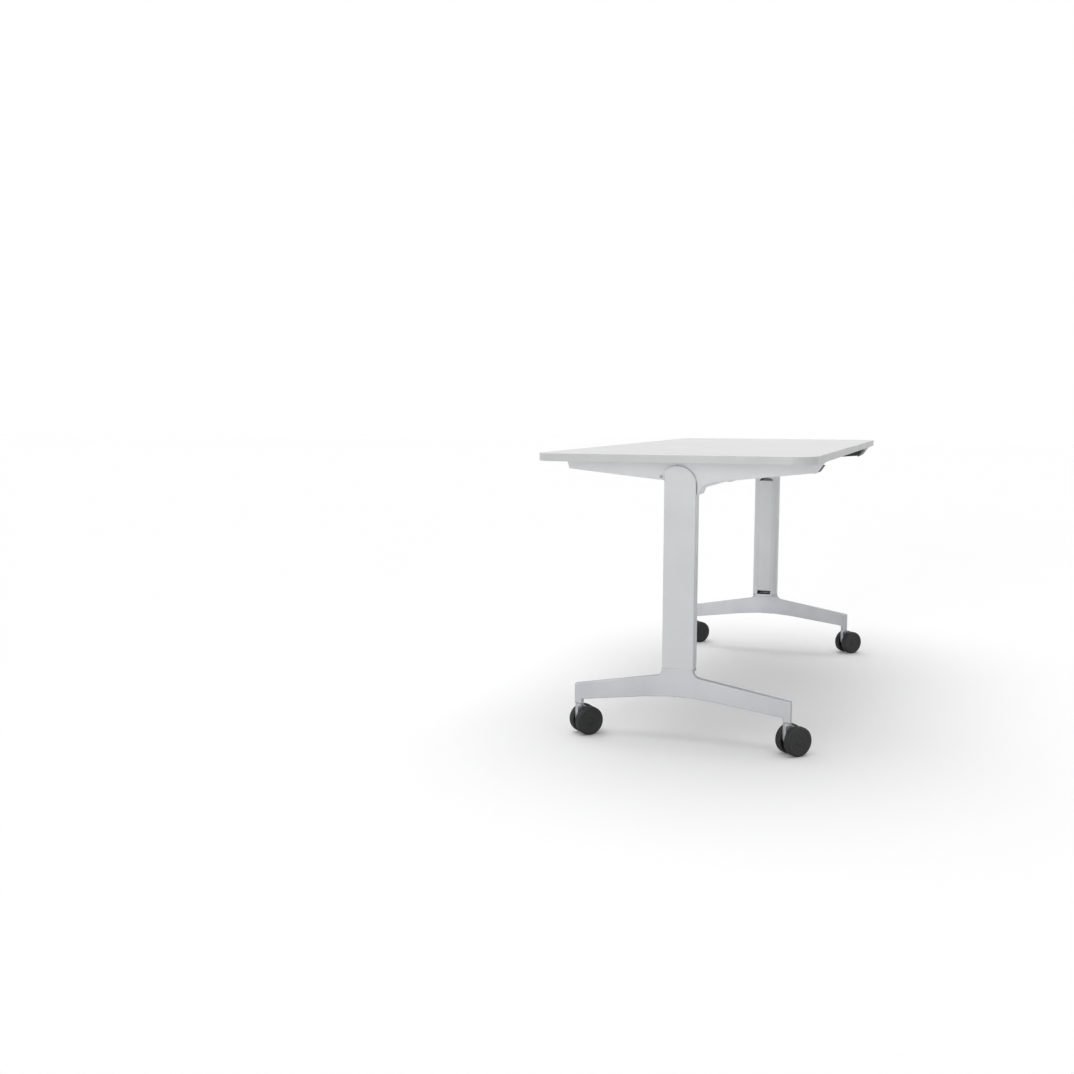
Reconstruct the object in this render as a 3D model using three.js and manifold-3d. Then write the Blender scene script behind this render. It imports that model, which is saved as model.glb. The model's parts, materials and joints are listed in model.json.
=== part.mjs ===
// Flip top training table: a board that folds upright on two T-legs with swivel castors.
// Millimetres, +Z up, +X along the table, -Y towards the user.
// The origin is on the floor under the middle of the top.
import * as THREE from 'three';
import { mergeVertices } from 'three/addons/utils/BufferGeometryUtils.js';
import loadManifold from 'manifold-3d';

const wasm = await loadManifold();
wasm.setup();

// Clearances
const SEAT_GAP = 0.3; // between pieces that are fixed to each other
const RUN_GAP = 0.4; // round a pin that turns, and beside a piece that swings
const BOND_GAP = 0.1; // glue line between board and edging
const SEAM_GAP = 0.1; // where foot, column and head are drawn tight against each other
const PEG_GAP = 2.2; // round a peg that swings through a wall
const PAD_GAP = 0.5; // between the rest pad and the saddle

// Top
const TOP_LENGTH = 1600;
const TOP_DEPTH = 680;
const TOP_HEIGHT = 740;
const BOARD_THICKNESS = 19;
const BOARD_CORNER = 55;
const EDGE_BAND = 2;

// Legs
const LEG_INSET = 145; // outer side of the leg from the top's end
const COLUMN_SETBACK = 6; // column behind the middle of the top and of the foot
const COLUMN_WIDTH = 81;
const COLUMN_THICKNESS = 50;
const OUTER_EDGE = 3; // rounding of the column's edges on the side that faces out
const INNER_EDGE = 16;
const LEAST_EDGE = 0.5; // rounding that is left inside an edge thinner than the wall
const COLUMN_WALL = 4;
const MOUTH_WIDTH = 46; // open side of the cable channel
const COVER_THICKNESS = 3;
const COVER_LEG = 9;
const COVER_LEG_WALL = 2;
const CABLE_SLOT = 13; // height left open under the cover
const OUTLET_HEIGHT = 12; // half-moon cable outlet over the cover
const TENON_LENGTH = 40;
const TENON_THICKNESS = 12;

// Foot
const FOOT_LENGTH = 558;
const FOOT_THICKNESS = 18; // on the outer side of the column
const FOOT_ROUNDING = 1.2;
const FOOT_FILLET = 18; // between the tower and the arms
const FOOT_LAND = 4; // straight part of the tower over its fillets
const FOOT_SHOULDER = 8; // thickness of the ledge that closes the column's lower end
const ARM_ROOT_HEIGHT = 178;
const ARM_END_HEIGHT = 136;
const ARCH_END_HEIGHT = 96;
const ARCH_CREST_HEIGHT = 124.5;
const ARCH_CROWN = 92; // half length of the curved crown of the arch
const NECK_WIDTH = 20;
const NECK_HEIGHT = 84; // underside of the neck over the castor
const STEM_INSET = 10.5; // castor axis inside the column's outer face
const POST_DROP = 4; // top of the post round the stem below the end of the arm

// Head, cross tube and what sits on it
const HUB_DROP = 62; // tube axis below the board
const HUB_SETBACK = 8; // tube axis behind the middle of the column
const HEAD_SKIRT = 60; // head below the tube axis
const TUBE_DIAMETER = 48;
const TUBE_WALL = 3;
const SPIGOT_LENGTH = 22;
const RING_WIDTH = 16;
const RING_WALL = 7;
const SUPPORT_RADIUS = 45;
const SUPPORT_WIDTH = 28;
const PAD_WIDTH = 48;
const PAD_START = 50; // degrees round the head, measured from the rear
const PAD_END = 170;

// Flip hinge
const BACK_GAP = 1; // between the back of the head and the rail behind it
const PIVOT_DROP = 41; // pivot axis below the board
const PIVOT_PIN = 7;
const PIVOT_CAP = 8.5;
const PIVOT_CAP_HEIGHT = 1.5;
const BUSH_WALL = 1.5;
const TONGUE_THICKNESS = 30;
const TONGUE_INSET = 1; // from the head's inner face
const TONGUE_RADIUS = 8;
const TONGUE_ROOT = 20; // half height where it leaves the head
const TONGUE_SLOT_GAP = 1.5;
const KNUCKLE_RADIUS = 8;

// Rail under the board
const RAIL_INSET = 5; // outer side at its widest, inside the column's outer face
const RAIL_WIDTH = 64;
const RAIL_BOW = 28; // how far the outer side draws in at the ends
const RAIL_WALL = 4;
const RAIL_REAR_MARGIN = 24; // from the board's edge
const RAIL_FRONT_MARGIN = 4;
const RAIL_END_DEPTH = 26;
const RAIL_END_SLANT = 18;
const RAIL_ROOT_REACH = 134; // where the front arm meets the saddle, ahead of the hub
const RAIL_ROOT_DEPTH = 47;
const SADDLE_GAP = 1.6; // between the head and the saddle
const LOBE_WALL = 14; // front of the saddle level with the hub
const LOBE_TIP = 3;
const LOBE_DROP = 22; // tip of the saddle below the hub
const FLANGE_WIDTH = 12;
const FLANGE_THICKNESS = 3;

// Release lever, link and latch
const LEVER_REACH = 100; // pin behind the rail's front end
const LEVER_PIN_DROP = 21;
const LEVER_PIN = 6;
const LEVER_PIN_HEAD = 12;
const LEVER_PIN_HEAD_HEIGHT = 2;
const LEVER_PIN_DEPTH = 34; // how far it reaches into the rail
const LEVER_PLATE = 6;
const LEVER_EYE = 14;
const BAR_LENGTH = 106;
const BAR_ROOT_WIDTH = 20;
const BAR_TIP_WIDTH = 14;
const BAR_TIP_RADIUS = 5;
const BAR_HEIGHT = 17;
const BAR_SLANT = 12; // front face leans back like the rail's end
const BAR_DROP = 12; // room to squeeze the bar up to the board
const BAR_MARGIN = 15; // behind the board's edge
const BAR_ROUNDING = 2;
const CRANK = 11;
const PEG = 6;
const LINK_THICKNESS = 5;
const LINK_EYE = 6;
const LINK_INSET = 4; // link beside the rail's inner wall
const LATCH_REACH = 84; // latch pin ahead of the hub
const LATCH_CRANK = 17;
const LATCH_THICKNESS = 7;
const LATCH_EYE = 6;
const LATCH_NOSE = 5;
const LATCH_NOSE_REACH = 30;
const LATCH_NOSE_DROP = 14;
const LATCH_SLOT_GAP = 1.5;
const SPRING_WIRE = 1.2;
const SPRING_TURNS = 3;
const SPRING_PITCH = 2.4;

// Castors
const WHEEL_DIAMETER = 75;
const WHEEL_WIDTH = 20;
const WHEEL_ROUNDING = 4;
const WHEEL_DISH = 1.2;
const WHEEL_RIM = 6;
const WHEEL_FACE = 3; // closed face over the axle's end
const WHEEL_GAP = 1.5; // wheel beside the blade
const BLADE_THICKNESS = 11;
const BLADE_ROUNDING = 1.5;
const BLADE_EYE = 11;
const BOSS_DIAMETER = 20;
const BOSS_HEIGHT = 8;
const CASTOR_TRAIL = 20;
const CASTOR_TURN = 46; // degrees, as the castors stand in use
const STEM_DIAMETER = 8;
const STEM_IN_FOOT = 34;
const STEM_IN_BODY = 6;
const AXLE_DIAMETER = 6;

// Facets
const PIN_STEPS = 6; // a full circle has twice as many sides
const CURVE_STEPS = 8;
const FINE_STEPS = 14; // the tube and everything round the hub
const CORNER_STEPS = 5; // corners of the top
const ARC_STEPS = 3;
const WHEEL_SIDES = 28; // a multiple of four, so that a corner stands on the floor
const WIRE_SIDES = 4;
const STEPS_PER_TURN = 8;

// Places that several pieces share
const UNDERSIDE = TOP_HEIGHT - BOARD_THICKNESS;
const HALF_WIDTH = COLUMN_WIDTH / 2;
const HALF_THICKNESS = COLUMN_THICKNESS / 2;
const LEG_X = TOP_LENGTH / 2 - LEG_INSET - HALF_THICKNESS;
const hub = { y: HUB_SETBACK, z: UNDERSIDE - HUB_DROP };
const pivot = { y: HALF_WIDTH + BACK_GAP + KNUCKLE_RADIUS, z: UNDERSIDE - PIVOT_DROP };
const FRONT_REACH = FOOT_LENGTH / 2 + COLUMN_SETBACK; // ends of the foot from the middle of the column
const REAR_REACH = FOOT_LENGTH / 2 - COLUMN_SETBACK;
const FOOT_TOWER = filletTop(armTilt(FRONT_REACH)) + FOOT_LAND; // height of the seam with the column
const HEAD_RADIUS = HALF_WIDTH + HUB_SETBACK;
const SADDLE_RADIUS = HEAD_RADIUS + SADDLE_GAP;
const HEAD_SEAM = hub.z - HEAD_SKIRT;
const RAIL_OUTER = RAIL_INSET - HALF_THICKNESS; // measured inwards from the middle of the leg
const RAIL_INNER = RAIL_OUTER + RAIL_WIDTH;
const TOP_REAR = TOP_DEPTH / 2 - COLUMN_SETBACK; // edges of the top from the middle of the column
const TOP_FRONT = -TOP_DEPTH / 2 - COLUMN_SETBACK;
const RAIL_REAR = TOP_REAR - RAIL_REAR_MARGIN;
const RAIL_FRONT = TOP_FRONT + RAIL_FRONT_MARGIN;
const RAIL_TOP = UNDERSIDE - SEAT_GAP;
const TONGUE_INNER = HALF_THICKNESS - TONGUE_INSET;
const TONGUE_OUTER = TONGUE_INNER - TONGUE_THICKNESS;
const leverPin = { y: RAIL_FRONT + LEVER_REACH, z: UNDERSIDE - LEVER_PIN_DROP };
const leverPeg = { y: leverPin.y, z: leverPin.z + CRANK };
const latchPeg = { y: hub.y - LATCH_REACH, z: leverPeg.z };
const latchPin = { y: latchPeg.y, z: latchPeg.z - LATCH_CRANK };
const latchNose = { y: latchPin.y + LATCH_NOSE_REACH, z: latchPin.z - LATCH_NOSE_DROP };
const LINK_INNER = RAIL_INNER - RAIL_WALL - LINK_INSET;
const LINK_OUTER = LINK_INNER - LINK_THICKNESS;
const LATCH_INNER = LINK_OUTER - 2 * RUN_GAP;
const LATCH_OUTER = LATCH_INNER - LATCH_THICKNESS;
const LEVER_FACE = RAIL_INNER + RUN_GAP;
const STEM_X = HALF_THICKNESS - STEM_INSET; // outwards from the middle of the leg
const STEM_Y = (FOOT_LENGTH - NECK_WIDTH) / 2;
const WHEEL_RADIUS = WHEEL_DIAMETER / 2;
const BEYOND = 5; // how far a cut runs past the faces it opens

// Solids from three.js shapes

function solidFrom(geometry) {
  const bare = geometry.index ? geometry.toNonIndexed() : geometry.clone();
  bare.deleteAttribute('normal');
  bare.deleteAttribute('uv');
  const merged = mergeVertices(bare, 1e-4);
  const place = merged.attributes.position;
  const corner = [new THREE.Vector3(), new THREE.Vector3(), new THREE.Vector3()];
  const triangles = [];
  let volume = 0;
  for (let i = 0; i < merged.index.count; i += 3) {
    const [a, b, c] = [0, 1, 2].map((k) => merged.index.getX(i + k));
    if (a === b || b === c || c === a) continue;
    triangles.push([a, b, c]);
    [a, b, c].forEach((vertex, k) => corner[k].fromBufferAttribute(place, vertex));
    volume += corner[0].dot(corner[1].cross(corner[2]));
  }
  const outward = volume > 0 ? triangles : triangles.map(([a, b, c]) => [a, c, b]);
  const triVerts = new Uint32Array(outward.flat());
  return new wasm.Manifold(new wasm.Mesh({ numProp: 3, vertProperties: place.array, triVerts }));
}

function geometryFrom(solid) {
  const { vertProperties, triVerts } = solid.getMesh();
  const geometry = new THREE.BufferGeometry();
  geometry.setAttribute('position', new THREE.BufferAttribute(vertProperties, 3));
  geometry.setIndex(new THREE.BufferAttribute(triVerts, 1));
  geometry.computeVertexNormals();
  return geometry;
}

function extrude(outline, length, rounding, steps) {
  return new THREE.ExtrudeGeometry(outline, {
    depth: length - 2 * rounding,
    curveSegments: steps,
    bevelEnabled: rounding > 0,
    bevelThickness: rounding,
    bevelSize: rounding,
    bevelOffset: -rounding,
    bevelSegments: 1,
  }).translate(0, 0, rounding);
}

// Side outline in (y, z), extruded along X from one x to another
const SIDEWAYS = new THREE.Matrix4().makeBasis(
  new THREE.Vector3(0, 1, 0), new THREE.Vector3(0, 0, 1), new THREE.Vector3(1, 0, 0));
function alongX(outline, from, to, rounding = 0, steps = ARC_STEPS) {
  const geometry = extrude(outline, Math.abs(to - from), rounding, steps);
  return solidFrom(geometry.translate(0, 0, Math.min(from, to)).applyMatrix4(SIDEWAYS));
}

// Plan outline in (x, y), extruded from one height to another
function upwards(outline, from, to, rounding = 0, steps = ARC_STEPS) {
  return solidFrom(extrude(outline, to - from, rounding, steps).translate(0, 0, from));
}

function rod(at, radius, from, to, steps = PIN_STEPS) {
  return alongX(disc(at, radius), from, to, 0, steps);
}

function disc(at, radius) {
  return new THREE.Shape().absarc(at.y, at.z, radius, 0, 2 * Math.PI);
}

function box(x0, x1, y0, y1, z0, z1) {
  return upwards(polygon([[x0, y0], [x1, y0], [x1, y1], [x0, y1]]), z0, z1);
}

function polygon(points) {
  return new THREE.Shape(points.map(([x, y]) => new THREE.Vector2(x, y)));
}

function roundedRectangle(width, height, radius) {
  const [w, h] = [width / 2 - radius, height / 2 - radius];
  const corners = [[w, h], [-w, h], [-w, -h], [w, -h]];
  const outline = new THREE.Shape();
  corners.forEach(([x, y], k) => outline.absarc(x, y, radius, k * Math.PI / 2, (k + 1) * Math.PI / 2));
  return outline;
}

// Bar with round ends between two points in (y, z)
function lug(a, b, radius) {
  const turn = Math.atan2(b.z - a.z, b.y - a.y);
  const outline = new THREE.Shape().absarc(a.y, a.z, radius, turn + Math.PI / 2, turn + 1.5 * Math.PI);
  return outline.absarc(b.y, b.z, radius, turn - Math.PI / 2, turn + Math.PI / 2);
}

// Turned piece: profile of [radius, height] points about Z
function turned(profile, sides = 2 * PIN_STEPS) {
  const points = profile.map(([r, z]) => new THREE.Vector2(r, z));
  return new THREE.LatheGeometry(points, sides).rotateX(Math.PI / 2);
}

function upright(radius, from, to) {
  return solidFrom(turned([[0, from], [radius, from], [radius, to], [0, to]]));
}

// Finishes
function finish(color, roughness, metalness) {
  return () => new THREE.MeshStandardMaterial({ color, roughness, metalness });
}
const melamine = finish(0xe6e6e6, 0.5, 0);
const edging = finish(0xdadada, 0.45, 0);
const powderCoat = finish(0xc9cacc, 0.4, 0.3);
const castAluminium = finish(0xb9bcc2, 0.35, 0.7);
const blackPlastic = finish(0x242527, 0.5, 0);
const tyrePlastic = finish(0x2f3032, 0.55, 0);
const rubber = finish(0x4a4b4d, 0.8, 0);
const steel = finish(0x8a8c90, 0.35, 0.9);
const nylon = finish(0xdedbd2, 0.6, 0);

function piece(name, solid, material) {
  const mesh = new THREE.Mesh(geometryFrom(solid), material());
  mesh.name = name;
  return mesh;
}

// The board and its edging
function top() {
  const inner = [TOP_LENGTH - 2 * EDGE_BAND, TOP_DEPTH - 2 * EDGE_BAND, BOARD_CORNER - EDGE_BAND];
  const band = roundedRectangle(TOP_LENGTH, TOP_DEPTH, BOARD_CORNER);
  band.holes.push(roundedRectangle(...inner));
  const board = roundedRectangle(inner[0] - 2 * BOND_GAP, inner[1] - 2 * BOND_GAP, inner[2] - BOND_GAP);
  return [
    piece('table_top', upwards(board, UNDERSIDE, TOP_HEIGHT, 0, CORNER_STEPS), melamine),
    piece('edge_band', upwards(band, UNDERSIDE, TOP_HEIGHT, 0, CORNER_STEPS), edging),
  ];
}

// The column's outline in plan, drawn in by an inset: crisp edges outside, round ones inside
function columnPlan(inward, inset) {
  const [x, y] = [HALF_THICKNESS - inset, HALF_WIDTH - inset];
  const corners = [[1, 1], [-1, 1], [-1, -1], [1, -1]];
  const outline = new THREE.Shape();
  corners.forEach(([sx, sy], k) => {
    const radius = Math.max((sx === inward ? INNER_EDGE : OUTER_EDGE) - inset, LEAST_EDGE);
    outline.absarc(sx * (x - radius), sy * (y - radius), radius, k * Math.PI / 2, (k + 1) * Math.PI / 2);
  });
  return outline;
}

// Tenon on the outer side of the column's hollow, which leaves the mouth free for cables
function tenon(inward, from, to) {
  const inset = COLUMN_WALL + SEAT_GAP;
  const outer = inward * (inset - HALF_THICKNESS - BEYOND);
  const inner = inward * (inset - HALF_THICKNESS + TENON_THICKNESS);
  const half = box(Math.min(outer, inner), Math.max(outer, inner), -HALF_WIDTH, HALF_WIDTH, from, to);
  return upwards(columnPlan(inward, inset), from, to).intersect(half);
}

// Slope of an arm whose end is this far from the middle of the column
function armTilt(reach) {
  return Math.atan((ARM_ROOT_HEIGHT - ARM_END_HEIGHT) / (reach - HALF_WIDTH));
}

// Height where the fillet over an arm runs out into the tower
function filletTop(tilt) {
  return ARM_ROOT_HEIGHT + FOOT_FILLET * (1 / Math.cos(tilt) - Math.tan(tilt));
}

function footOutline() {
  const high = FOOT_TOWER + FOOT_ROUNDING;
  const filletY = HALF_WIDTH + FOOT_FILLET;
  const [front, rear] = [NECK_WIDTH - FRONT_REACH, REAR_REACH - NECK_WIDTH];
  const neck = (rear - front) / 2;
  const rise = 2 * (ARCH_CREST_HEIGHT - ARCH_END_HEIGHT) / (2 * neck - ARCH_CROWN);
  const crownZ = ARCH_END_HEIGHT + rise * (neck - ARCH_CROWN);
  const [frontTilt, rearTilt] = [armTilt(FRONT_REACH), armTilt(REAR_REACH)];
  const outline = new THREE.Shape();
  outline.moveTo(-HALF_WIDTH, high);
  outline.absarc(-filletY, filletTop(frontTilt), FOOT_FILLET, 0, frontTilt - Math.PI / 2, true);
  outline.lineTo(-FRONT_REACH, ARM_END_HEIGHT);
  outline.lineTo(-FRONT_REACH, NECK_HEIGHT);
  outline.lineTo(front, NECK_HEIGHT);
  outline.lineTo(front, ARCH_END_HEIGHT);
  outline.lineTo(-COLUMN_SETBACK - ARCH_CROWN, crownZ);
  outline.quadraticCurveTo(-COLUMN_SETBACK, 2 * ARCH_CREST_HEIGHT - crownZ,
    ARCH_CROWN - COLUMN_SETBACK, crownZ);
  outline.lineTo(rear, ARCH_END_HEIGHT);
  outline.lineTo(rear, NECK_HEIGHT);
  outline.lineTo(REAR_REACH, NECK_HEIGHT);
  outline.lineTo(REAR_REACH, ARM_END_HEIGHT);
  outline.absarc(filletY, filletTop(rearTilt), FOOT_FILLET, 1.5 * Math.PI - rearTilt, Math.PI, true);
  outline.lineTo(HALF_WIDTH, high);
  return outline;
}

// Thin casting flush with the outer side of the column, with a ledge under it and a post round each stem
function foot(inward) {
  const outer = -inward * HALF_THICKNESS;
  const stem = -inward * STEM_X;
  const above = box(-COLUMN_THICKNESS, COLUMN_THICKNESS, -COLUMN_WIDTH, COLUMN_WIDTH,
    FOOT_TOWER, FOOT_TOWER + BEYOND);
  let solid = alongX(footOutline(), outer, outer + inward * FOOT_THICKNESS, FOOT_ROUNDING).subtract(above)
    .add(upwards(columnPlan(inward, 0), FOOT_TOWER - FOOT_SHOULDER, FOOT_TOWER))
    .add(tenon(inward, FOOT_TOWER - BEYOND, FOOT_TOWER + TENON_LENGTH));
  for (const y of [-STEM_Y, STEM_Y]) {
    const post = upright(NECK_WIDTH / 2, NECK_HEIGHT, ARM_END_HEIGHT - POST_DROP);
    const bore = upright(STEM_DIAMETER / 2 + RUN_GAP,
      NECK_HEIGHT - BEYOND, NECK_HEIGHT + STEM_IN_FOOT + RUN_GAP);
    const place = [stem, y - COLUMN_SETBACK, 0];
    solid = solid.add(post.translate(place)).subtract(bore.translate(place));
  }
  return solid;
}

function column(inward) {
  const [low, high] = [FOOT_TOWER + SEAM_GAP, HEAD_SEAM];
  const hollow = upwards(columnPlan(inward, COLUMN_WALL), low - BEYOND, high + BEYOND);
  const mouth = [0, inward * (HALF_THICKNESS + BEYOND)].sort((a, b) => a - b);
  return upwards(columnPlan(inward, 0), low, high)
    .subtract(hollow)
    .subtract(box(...mouth, -MOUTH_WIDTH / 2, MOUTH_WIDTH / 2, low - BEYOND, high + BEYOND));
}

// Clip-in strip with two legs that grip the sides of the mouth
function columnCover(inward) {
  const half = MOUTH_WIDTH / 2 - SEAT_GAP;
  const [face, back, leg] = [0, COVER_THICKNESS, COVER_LEG].map((d) => inward * (HALF_THICKNESS - d));
  const hollow = half - COVER_LEG_WALL;
  const outline = polygon([[face, -half], [face, half], [leg, half], [leg, hollow],
    [back, hollow], [back, -hollow], [leg, -hollow], [leg, -half]]);
  return upwards(outline, FOOT_TOWER + SEAM_GAP + CABLE_SLOT, HEAD_SEAM);
}

// Head: round about the hub, cut off level with the back of the column, with the hinge tongue behind it
function head(inward) {
  const low = HEAD_SEAM + SEAM_GAP;
  const rise = Math.acos((HALF_WIDTH - hub.y) / HEAD_RADIUS);
  const outline = new THREE.Shape();
  outline.moveTo(-HALF_WIDTH, low);
  outline.lineTo(HALF_WIDTH, low);
  outline.absarc(hub.y, hub.z, HEAD_RADIUS, rise, Math.PI);
  const shank = upwards(columnPlan(inward, 0), low - BEYOND, UNDERSIDE);
  let solid = alongX(outline, -HALF_THICKNESS, HALF_THICKNESS, 0, CURVE_STEPS).intersect(shank);
  solid = solid.add(tenon(inward, low - TENON_LENGTH, low + BEYOND));

  const root = hub.y + HEAD_RADIUS / 2;
  const tongue = polygon([[root, pivot.z - TONGUE_ROOT], [pivot.y, pivot.z - TONGUE_RADIUS],
    [pivot.y, pivot.z + TONGUE_RADIUS], [root, pivot.z + TONGUE_RADIUS]]);
  const sides = [inward * TONGUE_OUTER, inward * TONGUE_INNER];
  solid = solid.add(alongX(tongue, ...sides).add(rod(pivot, TONGUE_RADIUS, ...sides)));
  const bore = PIVOT_PIN / 2 + RUN_GAP + BUSH_WALL + SEAT_GAP;
  const through = [TONGUE_OUTER - BEYOND, TONGUE_INNER + BEYOND].map((x) => inward * x);
  solid = solid.subtract(rod(pivot, bore, ...through));

  const spigot = TUBE_DIAMETER / 2 - TUBE_WALL - SEAT_GAP;
  solid = solid.add(rod(hub, spigot, 0, inward * (HALF_THICKNESS + SPIGOT_LENGTH), FINE_STEPS));
  const outlet = new THREE.Shape().moveTo(MOUTH_WIDTH / 2, HEAD_SEAM - BEYOND);
  outlet.absellipse(0, HEAD_SEAM, MOUTH_WIDTH / 2, OUTLET_HEIGHT, 0, Math.PI);
  outlet.lineTo(-MOUTH_WIDTH / 2, HEAD_SEAM - BEYOND);
  const passage = TENON_THICKNESS + COLUMN_WALL + 2 * SEAT_GAP - HALF_THICKNESS;
  return solid.subtract(alongX(outlet, inward * passage, inward * (HALF_THICKNESS + BEYOND)));
}

function pivotBush(inward) {
  const inner = PIVOT_PIN / 2 + RUN_GAP;
  const outline = disc(pivot, inner + BUSH_WALL);
  outline.holes.push(disc(pivot, inner));
  return alongX(outline, inward * TONGUE_OUTER, inward * TONGUE_INNER, 0, PIN_STEPS);
}

// Rubber strip that lines the head's shoulder
function restPad() {
  const [start, end] = [PAD_START, PAD_END].map(THREE.MathUtils.degToRad);
  const outline = new THREE.Shape();
  outline.absarc(hub.y, hub.z, HEAD_RADIUS + SEAT_GAP, start, end);
  outline.absarc(hub.y, hub.z, SADDLE_RADIUS - PAD_GAP, end, start, true);
  return alongX(outline, -PAD_WIDTH / 2, PAD_WIDTH / 2, 0, FINE_STEPS);
}

function crossTube() {
  const half = LEG_X - HALF_THICKNESS - SEAT_GAP;
  const outline = disc(hub, TUBE_DIAMETER / 2);
  outline.holes.push(disc(hub, TUBE_DIAMETER / 2 - TUBE_WALL));
  return alongX(outline, -half, half, 0, FINE_STEPS);
}

function tubeRing(inward) {
  const outline = disc(hub, TUBE_DIAMETER / 2 + SEAT_GAP + RING_WALL);
  outline.holes.push(disc(hub, TUBE_DIAMETER / 2 + SEAT_GAP));
  const face = HALF_THICKNESS + SEAT_GAP;
  return alongX(outline, inward * face, inward * (face + RING_WIDTH), 0, FINE_STEPS);
}

// Eccentric collar whose highest point carries the board
function centreSupport() {
  const middle = { y: hub.y, z: RAIL_TOP - SUPPORT_RADIUS };
  const outline = disc(middle, SUPPORT_RADIUS);
  outline.holes.push(disc(hub, TUBE_DIAMETER / 2 + SEAT_GAP));
  return alongX(outline, -SUPPORT_WIDTH / 2, SUPPORT_WIDTH / 2, 0, FINE_STEPS);
}

function railSide() {
  const knuckle = pivot.z - KNUCKLE_RADIUS;
  const saddle = hub.y - SADDLE_RADIUS;
  const tip = hub.z - LOBE_DROP;
  const root = { y: hub.y - RAIL_ROOT_REACH, z: UNDERSIDE - RAIL_ROOT_DEPTH };
  const outline = new THREE.Shape();
  outline.moveTo(RAIL_REAR, RAIL_TOP);
  outline.lineTo(RAIL_REAR - RAIL_END_SLANT / 2, UNDERSIDE - RAIL_END_DEPTH);
  outline.lineTo(pivot.y, knuckle);
  outline.lineTo(saddle, tip);
  outline.lineTo(saddle - LOBE_TIP, tip);
  outline.quadraticCurveTo(saddle - 2 * LOBE_TIP, (tip + hub.z) / 2, saddle - LOBE_WALL, hub.z);
  outline.quadraticCurveTo(saddle - 2 * LOBE_WALL, (hub.z + 2 * root.z) / 3, root.y, root.z);
  outline.lineTo(RAIL_FRONT + RAIL_END_SLANT, UNDERSIDE - RAIL_END_DEPTH);
  outline.lineTo(RAIL_FRONT, RAIL_TOP);
  return outline;
}

// Straight inner side, bowed outer side; the ends are drawn in by their own insets
function railPlan(inward, wall = 0, flange = 0, rearInset = 0, frontInset = 0) {
  const inner = RAIL_INNER - wall;
  const middle = RAIL_OUTER + wall - flange;
  const [rear, front] = [RAIL_REAR - rearInset, RAIL_FRONT + frontInset];
  const outline = new THREE.Shape();
  outline.moveTo(inward * inner, front);
  outline.lineTo(inward * inner, rear);
  outline.lineTo(inward * (middle + RAIL_BOW), rear);
  outline.quadraticCurveTo(inward * (middle - RAIL_BOW), (rear + front) / 2,
    inward * (middle + RAIL_BOW), front);
  return outline;
}

// Hollow casting, open to the board, with a saddle that clears the head and a knuckle on each side
function rail(inward) {
  const [outer, inner] = [inward * (RAIL_OUTER - BEYOND), inward * (RAIL_INNER + BEYOND)];
  const floor = hub.z - LOBE_DROP - BEYOND;
  const side = railSide();
  const flange = railPlan(inward, 0, FLANGE_WIDTH);
  const body = alongX(side, outer, inner, 0, CURVE_STEPS)
    .intersect(upwards(railPlan(inward), floor, RAIL_TOP, 0, CURVE_STEPS))
    .add(upwards(flange, RAIL_TOP - FLANGE_THICKNESS, RAIL_TOP, 0, CURVE_STEPS));

  const wall = new THREE.Vector2(0, RAIL_WALL);
  const lift = new THREE.Shape(side.getPoints(CURVE_STEPS).map((point) => point.add(wall)));
  const hollow = railPlan(inward, RAIL_WALL, 0, RAIL_WALL + RAIL_END_SLANT, -BEYOND);
  const pocket = alongX(lift, outer, inner)
    .intersect(upwards(hollow, floor, UNDERSIDE + RAIL_WALL, 0, CURVE_STEPS))
    .subtract(rod(hub, SADDLE_RADIUS + RAIL_WALL, outer, inner, FINE_STEPS));

  const back = HALF_WIDTH + BACK_GAP;
  const behind = alongX(polygon([[back, pivot.z], [pivot.y + BEYOND, pivot.z], [pivot.y + BEYOND, RAIL_TOP],
    [back, RAIL_TOP]]), outer, inner);
  const saddle = rod(hub, SADDLE_RADIUS, outer, inner, FINE_STEPS)
    .subtract(rod(pivot, KNUCKLE_RADIUS, outer, inner)).subtract(behind);
  const below = alongX(polygon([[hub.y - SADDLE_RADIUS, floor - BEYOND], [pivot.y, floor - BEYOND],
    [pivot.y, hub.z], [hub.y - SADDLE_RADIUS, hub.z]]), outer, inner);
  const slot = [TONGUE_OUTER - TONGUE_SLOT_GAP, TONGUE_INNER + TONGUE_SLOT_GAP].map((x) => inward * x);
  const reach = TONGUE_RADIUS + TONGUE_SLOT_GAP;
  const tongueSlot = alongX(polygon([[hub.y, floor - BEYOND], [pivot.y + 1.5 * reach, floor - BEYOND],
    [pivot.y + 1.5 * reach, pivot.z + reach], [hub.y, pivot.z + reach]]), ...slot);
  const swing = [LATCH_OUTER - LATCH_SLOT_GAP, LATCH_INNER + LATCH_SLOT_GAP].map((x) => inward * x);
  const latchSlot = alongX(lug(latchPin, latchNose, LATCH_EYE + 2 * LATCH_SLOT_GAP), ...swing);

  const innerWall = [inward * (LINK_OUTER - BEYOND), inner];
  return body.subtract(pocket).subtract(saddle).subtract(below).subtract(tongueSlot).subtract(latchSlot)
    .subtract(rod(pivot, PIVOT_PIN / 2 + SEAT_GAP, outer, inner))
    .subtract(rod(leverPin, LEVER_PIN / 2 + SEAT_GAP, ...innerWall))
    .subtract(rod(leverPeg, PEG / 2 + PEG_GAP, ...innerWall))
    .subtract(rod(latchPin, LEVER_PIN / 2 + SEAT_GAP, ...innerWall));
}

// How far the rail's outer side is drawn in at a place along it
function bowAt(y) {
  return RAIL_BOW * ((2 * y - RAIL_REAR - RAIL_FRONT) / (RAIL_REAR - RAIL_FRONT)) ** 2;
}

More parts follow.
